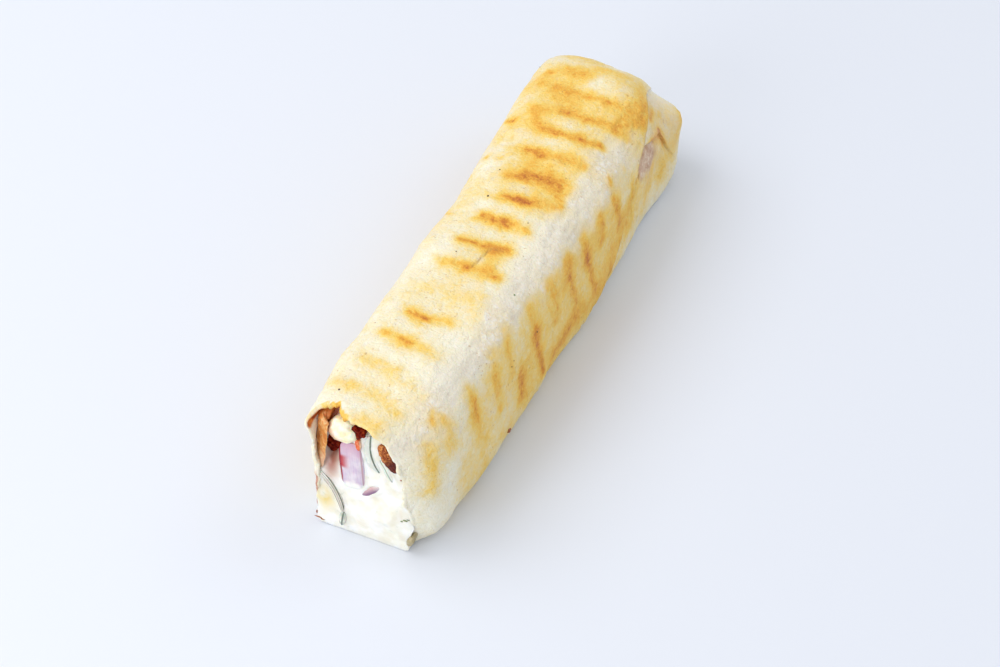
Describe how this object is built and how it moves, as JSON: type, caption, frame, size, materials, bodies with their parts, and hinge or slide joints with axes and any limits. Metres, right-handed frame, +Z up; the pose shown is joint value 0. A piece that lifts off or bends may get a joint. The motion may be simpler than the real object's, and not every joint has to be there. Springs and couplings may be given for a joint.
{
  "type": "doner wrap",
  "caption": "Toasted doner wrap lying on its side: flatbread rolled round meat, onion, cucumber and white sauce, open at one end and folded shut at the other.",
  "frame": {"origin": "middle of the underside, on the surface that the wrap lies on", "axes": "+Y along the wrap from its open mouth to its folded end, +X to the right of someone looking in at the mouth, +Z up"},
  "size_m": [0.0544, 0.2158, 0.0488],
  "materials": {
    "toasted_bread": "thin flatbread, pale and floury with golden brown grill marks",
    "white_sauce": "thick creamy white sauce, wet and glossy",
    "coated_chicken": "pale meat coated in sauce, wet",
    "grilled_meat": "browned grilled meat, grainy and a little greasy",
    "red_onion": "translucent lilac red onion with a crimson rim, wet",
    "tomato": "wet orange red tomato",
    "cucumber": "wet pale green cucumber with a dark green skin",
    "olive": "wet grey brown pickle"
  },
  "bodies": {
    "root": {"flatbread": "toasted_bread", "sauce": "white_sauce", "coated_chicken": "coated_chicken", "dark_meat": "grilled_meat", "grilled_meat": "grilled_meat", "meat_by_fold": "grilled_meat", "red_onion": "red_onion", "onion_scrap": "red_onion", "tomato_bit": "tomato", "cucumber_slice": "cucumber", "cucumber_edge": "cucumber", "cucumber_strip": "cucumber", "olive_bit": "olive"}
  },
  "joints": []
}
